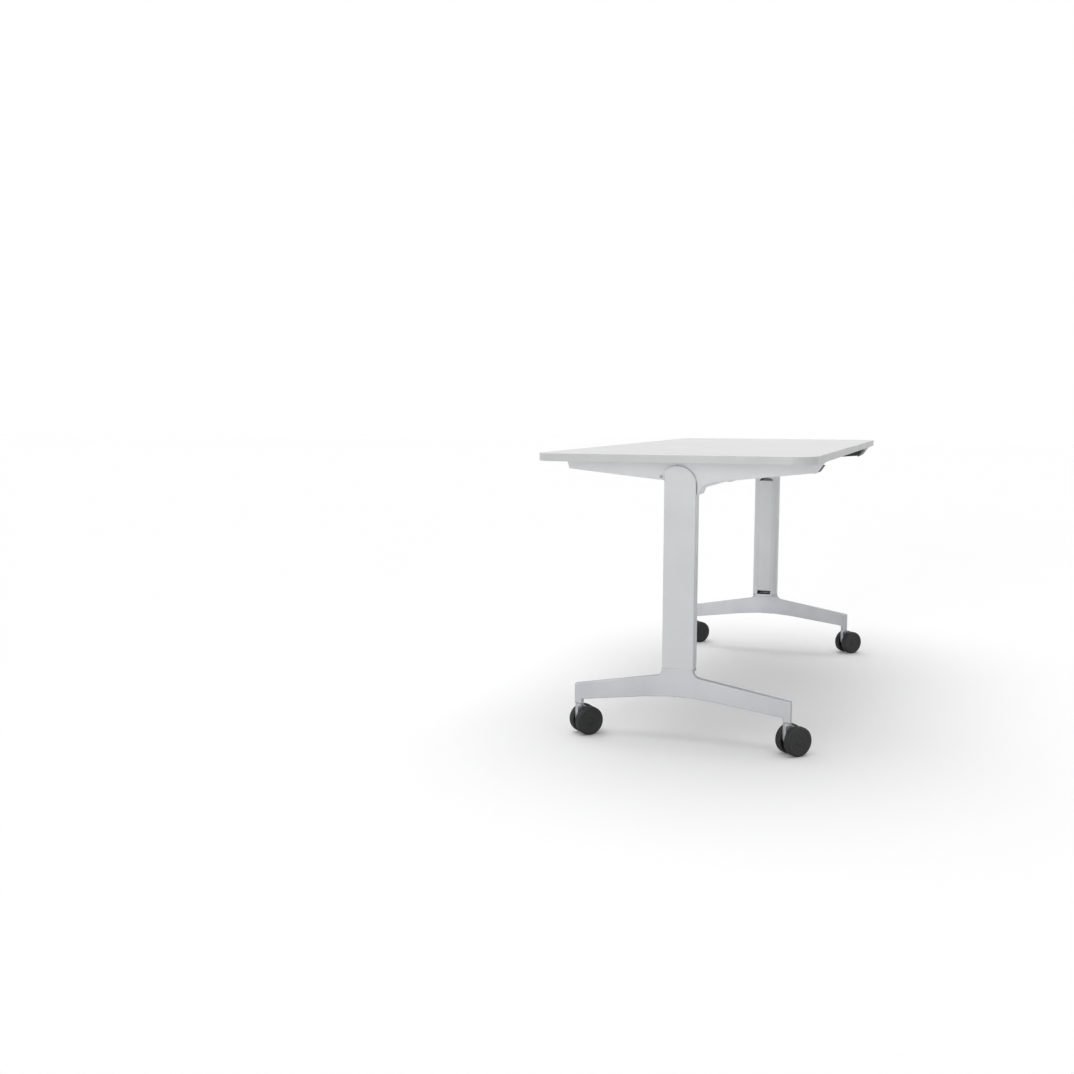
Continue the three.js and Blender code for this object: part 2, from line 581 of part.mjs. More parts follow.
// Pin through both knuckles with a low cap on the outside
function pivotPin(inward) {
  const cap = inward * (RAIL_OUTER + bowAt(pivot.y - PIVOT_CAP / 2) - SEAT_GAP);
  return rod(pivot, PIVOT_PIN / 2, cap - inward * PIVOT_CAP_HEIGHT / 2, inward * RAIL_INNER)
    .add(rod(pivot, PIVOT_CAP / 2, cap - inward * PIVOT_CAP_HEIGHT, cap));
}

// Plate along the rail with an eye at its pin, a finger bar at the front and a peg for the link
function lever(inward) {
  const face = inward * LEVER_FACE;
  const back = inward * (LEVER_FACE + LEVER_PLATE);
  const front = TOP_FRONT + BAR_MARGIN;
  const high = UNDERSIDE - BAR_DROP;
  const low = high - BAR_HEIGHT;
  const root = front + BAR_ROOT_WIDTH;
  const plate = new THREE.Shape();
  plate.absarc(leverPin.y, leverPin.z, LEVER_EYE, Math.PI / 2, -Math.PI / 2, true);
  plate.lineTo(root, low);
  plate.lineTo(front + BAR_SLANT, low);
  plate.lineTo(front, high);
  plate.lineTo(root, high);
  const tip = inward * (LEVER_FACE + BAR_LENGTH);
  const bend = inward * (LEVER_FACE + BAR_LENGTH - BAR_TIP_RADIUS);
  const bar = new THREE.Shape();
  bar.moveTo(face, front);
  bar.lineTo(bend, front);
  bar.quadraticCurveTo(tip, front, tip, front + BAR_TIP_RADIUS);
  bar.lineTo(tip, front + BAR_TIP_WIDTH - BAR_TIP_RADIUS);
  bar.quadraticCurveTo(tip, front + BAR_TIP_WIDTH, bend, front + BAR_TIP_WIDTH);
  bar.lineTo(face, root);
  const section = polygon([[front, high], [front + BAR_SLANT, low], [root, low], [root, high]]);
  return alongX(plate, face, back, 1)
    .add(upwards(bar, low, high, BAR_ROUNDING).intersect(alongX(section, face, tip)))
    .add(rod(leverPeg, PEG / 2, inward * (LINK_OUTER - RUN_GAP), face + inward * LEVER_PLATE / 2))
    .subtract(rod(leverPin, LEVER_PIN / 2 + RUN_GAP, face - inward * BEYOND, back + inward * BEYOND));
}

function leverPinSolid(inward) {
  const head = inward * (LEVER_FACE + LEVER_PLATE + RUN_GAP);
  const end = inward * (RAIL_INNER - LEVER_PIN_DEPTH);
  return rod(leverPin, LEVER_PIN / 2, end, head + inward * LEVER_PIN_HEAD_HEIGHT / 2)
    .add(rod(leverPin, LEVER_PIN_HEAD / 2, head, head + inward * LEVER_PIN_HEAD_HEIGHT));
}

// Torsion spring wound on the lever's pin
function leverSpring(inward) {
  const radius = LEVER_PIN / 2 + RUN_GAP + SPRING_WIRE / 2;
  const start = RAIL_INNER - LEVER_PIN_DEPTH + SPRING_WIRE;
  const points = [];
  for (let step = 0; step <= SPRING_TURNS * STEPS_PER_TURN; step += 1) {
    const turn = step / STEPS_PER_TURN;
    const angle = 2 * Math.PI * turn;
    points.push(new THREE.Vector3(inward * (start + SPRING_PITCH * turn),
      leverPin.y + radius * Math.cos(angle), leverPin.z + radius * Math.sin(angle)));
  }
  const section = new THREE.Shape();
  for (let side = 0; side < WIRE_SIDES; side += 1) {
    const angle = 2 * Math.PI * side / WIRE_SIDES;
    const corner = [SPRING_WIRE / 2 * Math.cos(angle), SPRING_WIRE / 2 * Math.sin(angle)];
    if (side === 0) section.moveTo(...corner);
    else section.lineTo(...corner);
  }
  return solidFrom(new THREE.ExtrudeGeometry(section, {
    steps: points.length - 1,
    extrudePath: new THREE.CatmullRomCurve3(points),
  }));
}

function pullLink(inward) {
  const outline = lug(latchPeg, leverPeg, LINK_EYE);
  for (const eye of [latchPeg, leverPeg]) outline.holes.push(disc(eye, PEG / 2 + RUN_GAP));
  return alongX(outline, inward * LINK_OUTER, inward * LINK_INNER, 0, PIN_STEPS);
}

function latch(inward) {
  const sides = [inward * LATCH_OUTER, inward * LATCH_INNER];
  const hole = [LATCH_OUTER - BEYOND, LATCH_INNER + BEYOND].map((x) => inward * x);
  const peg = [LATCH_OUTER + LATCH_THICKNESS / 2, LINK_INNER + RUN_GAP].map((x) => inward * x);
  return alongX(lug(latchPin, latchPeg, LATCH_EYE), ...sides)
    .add(alongX(lug(latchPin, latchNose, LATCH_NOSE), ...sides))
    .add(rod(latchPeg, PEG / 2, ...peg))
    .subtract(rod(latchPin, LEVER_PIN / 2 + RUN_GAP, ...hole));
}

function latchPinSolid(inward) {
  return rod(latchPin, LEVER_PIN / 2, inward * (LATCH_OUTER - RUN_GAP), inward * RAIL_INNER);
}

// Castor: blade between two wheels, trailing towards the user before it is turned
const axle = { y: -CASTOR_TRAIL, z: WHEEL_RADIUS };

function castorBody() {
  const high = NECK_HEIGHT - SEAT_GAP;
  const half = BOSS_DIAMETER / 2;
  const low = high - BOSS_HEIGHT;
  const blade = new THREE.Shape();
  blade.moveTo(half, low + half / 4);
  blade.lineTo(half, axle.z + BLADE_EYE / 2);
  blade.quadraticCurveTo(half, axle.z - BLADE_EYE, axle.y, axle.z - BLADE_EYE);
  blade.absarc(axle.y, axle.z, BLADE_EYE, -Math.PI / 2, -Math.PI, true);
  blade.quadraticCurveTo(axle.y - BLADE_EYE / 2, low, -half, low + half / 4);
  const socket = upright(STEM_DIAMETER / 2 + SEAT_GAP, high - STEM_IN_BODY - SEAT_GAP, high + BEYOND);
  return alongX(blade, -BLADE_THICKNESS / 2, BLADE_THICKNESS / 2, BLADE_ROUNDING)
    .add(upright(half, low, high))
    .subtract(socket)
    .subtract(rod(axle, AXLE_DIAMETER / 2 + SEAT_GAP, -BLADE_THICKNESS, BLADE_THICKNESS));
}

function castorStem() {
  return upright(STEM_DIAMETER / 2, NECK_HEIGHT - SEAT_GAP - STEM_IN_BODY, NECK_HEIGHT + STEM_IN_FOOT);
}

function castorAxle() {
  const half = BLADE_THICKNESS / 2 + WHEEL_GAP + WHEEL_WIDTH - WHEEL_FACE - RUN_GAP;
  return rod(axle, AXLE_DIAMETER / 2, -half, half);
}

// Wheel with a dished face, a round-edged tread and a blind bore
function castorWheel(side) {
  const inner = BLADE_THICKNESS / 2 + WHEEL_GAP;
  const outer = inner + WHEEL_WIDTH;
  const bore = AXLE_DIAMETER / 2 + RUN_GAP;
  const dish = WHEEL_RADIUS - WHEEL_ROUNDING - WHEEL_RIM;
  const tread = [[WHEEL_RADIUS - WHEEL_ROUNDING, inner], [WHEEL_RADIUS, inner + WHEEL_ROUNDING],
    [WHEEL_RADIUS, outer - WHEEL_ROUNDING], [WHEEL_RADIUS - WHEEL_ROUNDING, outer]];
  const profile = [[0, outer - WHEEL_FACE], [bore, outer - WHEEL_FACE], [bore, inner], ...tread,
    [dish, outer], [dish - WHEEL_DISH, outer - WHEEL_DISH], [0, outer - WHEEL_DISH]];
  const geometry = turned(profile, WHEEL_SIDES).rotateY(side * Math.PI / 2);
  return solidFrom(geometry.translate(0, axle.y, axle.z));
}

function castor(name, x, y) {
  const group = new THREE.Group();
  group.position.set(x, y, 0);
  group.rotation.z = THREE.MathUtils.degToRad(CASTOR_TURN);
  group.add(
    piece(`castor_body_${name}`, castorBody(), castAluminium),
    piece(`castor_stem_${name}`, castorStem(), steel),
    piece(`castor_axle_${name}`, castorAxle(), steel),
    piece(`castor_wheel_${name}_outer`, castorWheel(-Math.sign(x)), tyrePlastic),
    piece(`castor_wheel_${name}_inner`, castorWheel(Math.sign(x)), tyrePlastic),
  );
  return group;
}

// One leg with everything that is alike on both sides; inward is +1 on the left and -1 on the right
function leg(name, inward) {
  const group = new THREE.Group();
  group.position.set(-inward * LEG_X, COLUMN_SETBACK, 0);
  group.add(
    piece(`foot_${name}`, foot(inward), castAluminium),
    piece(`column_${name}`, column(inward), powderCoat),
    piece(`column_cover_${name}`, columnCover(inward), powderCoat),
    piece(`head_${name}`, head(inward), powderCoat),
    piece(`tube_ring_${name}`, tubeRing(inward), powderCoat),
    piece(`pivot_bush_${name}`, pivotBush(inward), nylon),
    piece(`rest_pad_${name}`, restPad(), rubber),
    piece(`rail_${name}`, rail(inward), powderCoat),
    piece(`pivot_pin_${name}`, pivotPin(inward), steel),
    piece(`lever_${name}`, lever(inward), blackPlastic),
    piece(`lever_pin_${name}`, leverPinSolid(inward), steel),
    piece(`lever_spring_${name}`, leverSpring(inward), steel),
    piece(`pull_link_${name}`, pullLink(inward), steel),
    piece(`latch_${name}`, latch(inward), steel),
    piece(`latch_pin_${name}`, latchPinSolid(inward), steel),
  );
  return group;
}

const table = new THREE.Group();
table.add(...top());
const beam = new THREE.Group();
beam.position.y = COLUMN_SETBACK;
beam.add(piece('cross_tube', crossTube(), powderCoat), piece('centre_support', centreSupport(), powderCoat));
table.add(beam);
for (const [name, inward] of [['left', 1], ['right', -1]]) {
  table.add(leg(name, inward));
  const x = -inward * (LEG_X + STEM_X);
  table.add(castor(`${name}_front`, x, -STEM_Y), castor(`${name}_rear`, x, STEM_Y));
}

export default table;
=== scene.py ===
"""Flip top training table: real finishes, broken edges, wheels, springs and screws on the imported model."""

import json
import math

import bmesh
import bpy
from mathutils import Matrix, Vector

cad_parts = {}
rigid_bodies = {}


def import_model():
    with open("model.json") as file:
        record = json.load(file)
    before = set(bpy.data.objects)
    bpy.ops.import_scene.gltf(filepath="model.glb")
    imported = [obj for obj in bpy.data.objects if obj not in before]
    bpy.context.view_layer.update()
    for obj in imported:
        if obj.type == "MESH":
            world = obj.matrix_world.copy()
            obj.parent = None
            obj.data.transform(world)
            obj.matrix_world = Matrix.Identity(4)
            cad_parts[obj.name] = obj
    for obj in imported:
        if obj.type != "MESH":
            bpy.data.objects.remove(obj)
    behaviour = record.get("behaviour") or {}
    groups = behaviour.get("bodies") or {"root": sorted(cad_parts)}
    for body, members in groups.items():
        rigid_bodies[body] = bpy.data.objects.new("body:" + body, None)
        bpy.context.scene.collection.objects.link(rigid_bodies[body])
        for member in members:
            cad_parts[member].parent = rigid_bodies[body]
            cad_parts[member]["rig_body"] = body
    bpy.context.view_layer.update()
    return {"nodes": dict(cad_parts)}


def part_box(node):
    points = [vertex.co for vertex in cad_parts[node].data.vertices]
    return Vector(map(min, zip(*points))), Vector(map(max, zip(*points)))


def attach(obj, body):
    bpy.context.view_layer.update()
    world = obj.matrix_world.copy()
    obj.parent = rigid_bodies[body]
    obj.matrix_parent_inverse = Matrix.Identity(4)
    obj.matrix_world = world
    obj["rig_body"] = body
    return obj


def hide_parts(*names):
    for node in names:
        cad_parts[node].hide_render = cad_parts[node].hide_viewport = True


MM = 0.001

# The camera stands a little higher than the table, off its left end and somewhat to the front.
CAMERA_PLACE = (-3.4317, -0.6735, 0.8467)
CAMERA_YAW = 20.86  # degrees from +X towards +Y
CAMERA_PITCH = -6.35
CAMERA_ROLL = 0.05
CAMERA_LENS = 38.46  # millimetres on a 36 mm sensor
SENSOR = 36
CAMERA_REACH = 100  # metres that it sees

# Light
SKY_LEVEL = 0.3
SKY_SIDE = 0.1  # how much brighter the sky is behind the table, and darker in front of it
LAMPS = [  # name, what it adds on a surface that faces it, degrees across, degrees of turn about X, Y and Z
    ("overhead", 0.64, 75, (-6, 4, 0)),
    ("end", 0.27, 18, (86, 0, -98)),
]
FLOOR_SIZE = 60  # metres
FLOOR_ROUGHNESS = 0.9
FLOOR_LIFT = 0.08  # brings the bare floor up to white in the picture

# Finishes
GRAIN_SHARE = 0.5  # of the grain in the shade, beside the patches
GRAIN_DETAIL = 2.0
PATCH_DETAIL = 3.0
SHADE_SPAN = (0.4, 1.1)  # sums of grain and patch that give the first and the second shade
DULL_SPAN = (0.3, 0.7)  # patch values that give the least and the greatest roughness
MIX_SHARE, MIX_FIRST, MIX_SECOND = 0, 6, 7  # sockets of the node that mixes two colours
MIX_RESULT = 2

# Mesh work
WELD = 0.01 * MM
FLAT = math.radians(0.4)  # faces that differ by less are one face
BROKEN = math.radians(32)  # edges that turn by more are broken
SHARP = math.radians(44)  # edges that turn by more are shaded as edges
ARRIS_STEPS = 2
ARRIS_ROUND = 0.5  # profile of a broken edge: an arc
SHORT = 0.3 * MM  # edges shorter than this are closed up before others are broken
SEAM_BAND = 0.5 * MM  # edges this near a seam of the leg are left sharp

# Board
BOARD_CORNER = 55 * MM
BAND_ROUNDING = 1.2 * MM
ROUNDING_STEPS = 3
BAND_WIDTH = 2 * MM
BOARD_ARRIS = 0.3 * MM
CORNER_STEPS = 18

# Wheel body, turned: radius and place along the axle in millimetres, away from the blade positive
WHEEL_BODY = [
    (0, 6.8), (3.4, 6.8), (3.4, -9.6), (4.0, -10.0),  # blind bore
    (8.4, -10.0), (9.0, -9.4), (9.6, -5.0),  # hub
    (27.5, -5.0), (28.5, -9.4), (29.1, -10.0), (32.6, -10.0), (34.3, -9.3),  # web and inner rim
    (34.3, 9.3), (32.6, 10.0), (28.6, 10.0), (27.9, 9.7), (27.2, 8.9), (26.4, 8.7),  # outer rim
    (10.6, 8.4), (10.0, 8.2), (9.7, 7.6), (9.3, 7.6), (9.0, 8.6),  # dished face, groove round the cap
    (8.2, 9.2), (4.0, 9.5), (0, 9.55),  # hub cap
]
WHEEL_SIDES = 56
WHEEL_HALF_WIDTH = 10 * MM

# Tread
TREAD_THICKNESS = 3.2 * MM
TREAD_SIDES = 72
TREAD_INSET = 0.7 * MM  # from the wheel's side
TREAD_SHOULDER = [(1.0, 0.9), (2.2, 1.7), (2.9, 2.6), (3.2, 3.8)]  # millimetres up and in from its edge
TREAD_GAP = 0.02 * MM  # between the tread and the wheel body
GROOVE_PLACE = 2 * MM  # from the middle of the tread
GROOVE_MOUTH = 1.2 * MM
GROOVE_FLOOR = 0.4 * MM
GROOVE_DEPTH = 0.35 * MM

# Screws. A head is turned: radius and height in millimetres, and in the socket half its width and its flats.
PAN_HEAD = [
    (0, 0), (4.2, 0), (4.2, 0.9), (3.9, 1.6), (3.2, 2.0), (2.0, 2.2),
    (1.5, 2.2, 6), (1.5, 0.8, 6), (0, 0.6),
]
LOW_HEAD = [(0, 0), (4.6, 0), (4.6, 2.6), (4.2, 3.0), (2.4, 3.0), (2.0, 2.8, 6), (2.0, 1.4, 6), (0, 1.0)]
GRUB_HEAD = [(0, 0), (3.0, 0), (3.0, 0.5), (2.7, 0.8), (1.7, 0.8), (1.5, 0.7, 6), (1.5, -0.2, 6), (0, -0.4)]
SCREW_SIDES = 24
FLANGE_WIDTH = 12 * MM
FLANGE_THICKNESS = 3 * MM
RAIL_BOW = 28 * MM
FLANGE_SCREWS = (-0.9, -0.55, -0.22, 0.28, 0.6, 0.9)  # along the half length of the rail
GRUB_SINK = 0.2 * MM
FOOT_THICKNESS = 18 * MM
ARCH_CREST = 124.5 * MM
FOOT_SCREWS = 24 * MM  # apart
FOOT_SCREW_SINK = 1 * MM  # heads stand in shallow seats in the arch

# Spring of the lever
WIRE_RADIUS = 0.6 * MM
WIRE_SIDES = 10
SPRING_TURNS = 3
SPRING_STEPS = 28  # in a turn

# Rest pad
PAD_BULGE = 0.1 * MM  # towards the saddle
PAD_SEAT = 0.25 * MM  # towards the head

# Finger bar of the lever
BAR_DROP = 12 * MM  # below the board
BAR_HEIGHT = 17 * MM
BAR_SLANT = 12 * MM
GRIP_LINES = 4
GRIP_PITCH = 3.2 * MM
GRIP_LENGTH = 64 * MM
GRIP_MARGIN = 12 * MM  # from the bar's tip
GRIP_RADIUS = 0.7 * MM
GRIP_SIDES = 12

for leftover in list(bpy.data.objects):
    bpy.data.objects.remove(leftover)
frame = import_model()
nodes = frame["nodes"]
SEAMS = [corner.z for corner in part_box("column_left")]  # where it meets the foot and the head


# Finishes


def linear(code):
    """An sRGB hex colour as the linear one that a socket takes."""
    channels = [int(code[i : i + 2], 16) / 255 for i in (1, 3, 5)]
    return (*[c / 12.92 if c < 0.04045 else ((c + 0.055) / 1.055) ** 2.4 for c in channels], 1)


def add_node(tree, kind, settings=None, inputs=None):
    """Adds a node with its settings. An input is a value, or a socket to link."""
    made = tree.nodes.new("ShaderNode" + kind)
    for name, value in (settings or {}).items():
        setattr(made, name, value)
    for name, value in (inputs or {}).items():
        if isinstance(value, bpy.types.NodeSocket):
            tree.links.new(value, made.inputs[name])
        else:
            made.inputs[name].default_value = value
    return made


def maths(tree, operation, *values):
    """The outcome of an operation on values and sockets."""
    return add_node(tree, "Math", {"operation": operation}, dict(enumerate(values))).outputs[0]


def mixed(tree, share, first, second):
    """Two colours mixed by a share."""
    inputs = {MIX_SHARE: share, MIX_FIRST: first, MIX_SECOND: second}
    return add_node(tree, "Mix", {"data_type": "RGBA"}, inputs).outputs[MIX_RESULT]


def spread(tree, value, span=(0.0, 1.0), low=0.0, high=1.0):
    """A span of values spread out from low to high."""
    inputs = {"Value": value, "From Min": span[0], "From Max": span[1], "To Min": low, "To Max": high}
    return add_node(tree, "MapRange", None, inputs).outputs[0]


def noise(tree, place, size, detail):
    """Noise with features of a size in millimetres."""
    inputs = {"Vector": place, "Scale": 1 / (size * MM), "Detail": detail}
    return add_node(tree, "TexNoise", None, inputs).outputs["Fac"]


def finish(
    name, shades, roughness, grain, height, patch, ior=1.5, metallic=0.0, stretch=(1, 1, 1), painted_shade=None
):
    """A surface with a fine grain that gives relief and shade, and broad patches where it is duller.

    shades and roughness are pairs, grain, height and patch are in millimetres. The last argument is a
    height over the floor, in metres, and a dark colour painted above it as shade.
    """
    material = bpy.data.materials.new(name)
    material.use_nodes = True
    tree = material.node_tree
    place = add_node(tree, "TexCoord").outputs["Object"]
    along = add_node(tree, "Mapping", None, {"Vector": place, "Scale": stretch}).outputs["Vector"]
    fine = noise(tree, along, grain, GRAIN_DETAIL)
    broad = noise(tree, place, patch, PATCH_DETAIL)
    shade = spread(tree, maths(tree, "MULTIPLY_ADD", fine, GRAIN_SHARE, broad), SHADE_SPAN)
    colour = mixed(tree, shade, linear(shades[0]), linear(shades[1]))
    # painted shade: a dark colour above a height, for the foot's tenon inside the column
    if painted_shade:
        up = add_node(tree, "SeparateXYZ", None, {0: place}).outputs["Z"]
        colour = mixed(tree, maths(tree, "GREATER_THAN", up, painted_shade[0]), colour, linear(painted_shade[1]))
    dull = spread(tree, broad, DULL_SPAN, *roughness)
    relief = add_node(tree, "Bump", None, {"Height": fine, "Strength": 1.0, "Distance": height * MM})
    shader = tree.nodes["Principled BSDF"]
    shader.inputs["IOR"].default_value = ior
    shader.inputs["Metallic"].default_value = metallic
    tree.links.new(colour, shader.inputs["Base Color"])
    tree.links.new(dull, shader.inputs["Roughness"])
    tree.links.new(relief.outputs["Normal"], shader.inputs["Normal"])
    return material


# Moulded, cast and turned grains are 0.1 to 0.5 mm in truth. They are drawn at 0.6 to 2 mm so that they show.

# Melamine paper pressed on chipboard with a pearl plate: an even pale grey with a soft silky sheen.
# The pearl is 0.7 mm in truth and is drawn at 3 mm so that it shows.
melamine_pressed = finish(
    "melamine_pressed",
    shades=("#D4D4D5", "#D1D1D2"),
    roughness=(0.38, 0.44),
    grain=3.0,
    height=0.012,
    patch=160,
    ior=1.55,
)

# ABS strip, extruded and scraped flush: faint lines along the edge, a little darker than the board.
abs_extruded = finish(
    "abs_extruded",
    shades=("#C7C8C8", "#C1C2C2"),
    roughness=(0.38, 0.48),
    grain=2.0,
    height=0.02,
    patch=90,
    ior=1.53,
    stretch=(0.03, 0.03, 1),
)

# Aluminium with a silver-grey powder coat: orange peel with waves of 3 mm, satin, no clear mirror image.
aluminium_powder_coated = finish(
    "aluminium_powder_coated",
    shades=("#D7D8DA", "#D1D2D4"),
    roughness=(0.40, 0.50),
    grain=3.0,
    height=0.020,
    patch=120,
)

# Steel tube with the same coat, levelled smoother on the round, so that it takes a bright line of light.
steel_powder_coated = finish(
    "steel_powder_coated",
    shades=("#D9DADC", "#D5D6D8"),
    roughness=(0.30, 0.34),
    grain=4.0,
    height=0.008,
    patch=140,
)

# Die-cast aluminium under silver lacquer: cooler than the coat, fine sand texture left by the die.
# The foot's tenon inside the column is painted dark grey above the seam: painted shade in the column's slot.
aluminium_die_cast = finish(
    "aluminium_die_cast",
    shades=("#B2B3B7", "#ABADB1"),
    roughness=(0.38, 0.50),
    grain=1.8,
    height=0.025,
    patch=70,
    metallic=0.7,
    painted_shade=(SEAMS[0] + SEAM_BAND, "#3A3B3D"),
)

# Glass-filled nylon from a spark-eroded mould: deep grey-black with a fine matt grain.
nylon_moulded_black = finish(
    "nylon_moulded_black",
    shades=("#2B2C2F", "#222326"),
    roughness=(0.45, 0.58),
    grain=1.0,
    height=0.03,
    patch=40,
    ior=1.53,
)

# Polypropylene wheel body from a polished mould: near black, satin.
polypropylene_moulded = finish(
    "polypropylene_moulded",
    shades=("#131415", "#0F1011"),
    roughness=(0.36, 0.48),
    grain=1.4,
    height=0.012,
    patch=30,
    ior=1.49,
)

# Polyurethane tread cast round the wheel: matt, in patches a little greyer.
polyurethane_cast = finish(
    "polyurethane_cast",
    shades=("#1B1C1D", "#141516"),
    roughness=(0.6, 0.75),
    grain=1.2,
    height=0.04,
    patch=18,
    ior=1.5,
)

# Soft thermoplastic rubber strip, extruded: dull light grey.
rubber_extruded = finish(
    "rubber_extruded",
    shades=("#D6D7D9", "#CFD0D2"),
    roughness=(0.75, 0.88),
    grain=1.0,
    height=0.05,
    patch=25,
    ior=1.52,
)

# Steel, turned and zinc plated: bright grey metal, slightly clouded.
steel_zinc_plated = finish(
    "steel_zinc_plated",
    shades=("#C3C6CA", "#B2B6BB"),
    roughness=(0.26, 0.40),
    grain=0.8,
    height=0.01,
    patch=12,
    metallic=1.0,
)

# Steel, turned and phosphated: an even mid grey with hardly any shine.
steel_phosphated = finish(
    "steel_phosphated",
    shades=("#A5A6A8", "#97989A"),
    roughness=(0.45, 0.58),
    grain=0.9,
    height=0.015,
    patch=10,
    metallic=0.5,
)

# Spring wire, drawn and oiled: grey metal with a narrow bright line along each turn.
spring_wire_drawn = finish(
    "spring_wire_drawn",
    shades=("#A9ACB0", "#94979B"),
    roughness=(0.25, 0.38),
    grain=0.6,
    height=0.01,
    patch=6,
    metallic=1.0,
)

# Acetal bush, turned from bar: milky white and waxy.
acetal_turned = finish(
    "acetal_turned",
    shades=("#E7E4DC", "#DEDBD2"),
    roughness=(0.32, 0.42),
    grain=0.9,
    height=0.01,
    patch=8,
    ior=1.48,
)


# Mesh tools


def new_piece(name, bm, material, body, slot, *stands_for):
    """Makes a piece of a bmesh, evenly shaded, riding on a body and standing for CAD nodes."""
    bmesh.ops.recalc_face_normals(bm, faces=bm.faces)
    for face in bm.faces:
        face.smooth = True
    for edge in bm.edges:
        edge.smooth = edge.is_manifold and edge.calc_face_angle() < SHARP
    mesh = bpy.data.meshes.new(name)
    bm.to_mesh(mesh)
    bm.free()
    mesh.materials.append(material)
    made = bpy.data.objects.new(name, mesh)
    bpy.context.scene.collection.objects.link(made)
    made.modifiers.new("even_shading", "WEIGHTED_NORMAL").keep_sharp = True
    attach(made, body)
    if stands_for:
        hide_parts(*stands_for)


def replace_node(node, ending, bm, material):
    """A new piece on the node's own body, in its place."""
    solid = nodes[node]
    new_piece(f"{node}_{ending}", bm, material, solid["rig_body"], solid.material_slots[0].name, node)


def on_seam(edge):
    """Whether an edge runs round a leg where foot, column and head meet flush."""
    return any(all(abs(vert.co.z - seam) < SEAM_BAND for vert in edge.verts) for seam in SEAMS)


def welded(node):
    """The node's solid with its flat faces whole again."""
    bm = bmesh.new()
    bm.from_mesh(nodes[node].data)
    bmesh.ops.remove_doubles(bm, verts=bm.verts, dist=WELD)
    bmesh.ops.dissolve_degenerate(bm, dist=SHORT, edges=bm.edges)
    bmesh.ops.dissolve_limit(bm, angle_limit=FLAT, verts=bm.verts, edges=bm.edges)
    return bm


def dress(node, ending, material, arris):
    """The node's solid with its sharp edges broken, apart from seams."""
    bm = welded(node)
    broken = [
        edge
        for edge in bm.edges
        if edge.is_manifold and edge.calc_face_angle() > BROKEN and not on_seam(edge)
    ]
    bmesh.ops.bevel(
        bm,
        geom=broken,
        offset=arris * MM,
        offset_type="OFFSET",
        segments=ARRIS_STEPS,
        profile=ARRIS_ROUND,
        affect="EDGES",
        clamp_overlap=False,
    )
    bmesh.ops.remove_doubles(bm, verts=bm.verts, dist=WELD)
    replace_node(node, ending, bm, material)


def turn(bm, profile, sides, place):
    """Adds a turned form: rings of (radius, height), or (half width over flats, height, flats)."""
    rings = []
    for radius, height, *flats in profile:
        ring = []
        for step in range(sides if radius else 1):
            angle = 2 * math.pi * step / sides
            reach = radius
            if flats:
                half = math.pi / flats[0]
                reach = radius / math.cos(angle % (2 * half) - half)
            point = Vector((reach * math.cos(angle), reach * math.sin(angle), height))
            ring.append(bm.verts.new(place @ point))
        rings.append(ring)
    for low, high in zip(rings, rings[1:]):
        for step in range(sides):
            after = (step + 1) % sides
            lower = [low[step % len(low)], low[after % len(low)]]
            upper = [high[after % len(high)], high[step % len(high)]]
            bm.faces.new(dict.fromkeys(lower + upper))


def facing(direction, place):
    """A matrix whose Z axis points in a direction from a place."""
    return Matrix.Translation(place) @ Vector(direction).to_track_quat("Z", "Y").to_matrix().to_4x4()


def middle(node):
    """The middle of the node's box."""
    low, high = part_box(node)
    return (low + high) / 2


# Board and edging


def rounded_outline(half_length, half_depth, corner, inset):
    """Points round a rectangle with round corners, drawn in by an inset."""
    points = []
    radius = corner - inset
    for quarter, (sx, sy) in enumerate([(1, 1), (-1, 1), (-1, -1), (1, -1)]):
        for step in range(CORNER_STEPS + 1):
            angle = (quarter + step / CORNER_STEPS) * math.pi / 2
            x = sx * (half_length - corner) + radius * math.cos(angle)
            y = sy * (half_depth - corner) + radius * math.sin(angle)
            points.append((x, y))
    return points


def stacked(bm, node, corner, profile, closed):
    """Lays rounded outlines over each other, at each (inset, height) of a profile.

    closed joins the last outline to the first, otherwise both are filled.
    """
    low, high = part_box(node)
    half_length, half_depth = (high.x - low.x) / 2, (high.y - low.y) / 2
    rings = []
    for inset, height in profile:
        outline = rounded_outline(half_length, half_depth, corner, inset)
        rings.append([bm.verts.new((x, y, height)) for x, y in outline])
    pairs = list(zip(rings, rings[1:]))
    if closed:
        pairs.append((rings[-1], rings[0]))
    else:
        bm.faces.new(rings[0])
        bm.faces.new(rings[-1])
    for lower, upper in pairs:
        for here in range(len(lower)):
            there = (here + 1) % len(lower)
            bm.faces.new((lower[here], lower[there], upper[there], upper[here]))


def board():
    """Board with its edges broken."""
    low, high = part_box("table_top")
    arris = BOARD_ARRIS
    profile = [(arris, low.z), (0, low.z + arris), (0, high.z - arris), (arris, high.z)]
    bm = bmesh.new()
    stacked(bm, "table_top", BOARD_CORNER - BAND_WIDTH, profile, False)
    replace_node("table_top", "board", bm, melamine_pressed)


def edging():
    """Strip round the board, rounded over and under."""
    low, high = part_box("edge_band")
    r, side = BAND_ROUNDING, BAND_WIDTH
    turns = [math.pi / 2 * step / ROUNDING_STEPS for step in range(ROUNDING_STEPS + 1)]
    over = [(r - r * math.cos(a), high.z - r + r * math.sin(a)) for a in turns]
    under = [(r - r * math.cos(a), low.z + r - r * math.sin(a)) for a in reversed(turns)]
    bm = bmesh.new()
    stacked(bm, "edge_band", BOARD_CORNER, [(side, low.z), *under, *over, (side, high.z)], True)
    replace_node("edge_band", "strip", bm, abs_extruded)


# Castor wheels


def wheel_body(node, stand):
    """Wheel body with a rim, a dished face and a hub cap."""
    bm = bmesh.new()
    turn(bm, [(radius * MM, along * MM) for radius, along in WHEEL_BODY], WHEEL_SIDES, stand)
    replace_node(node, "body", bm, polypropylene_moulded)


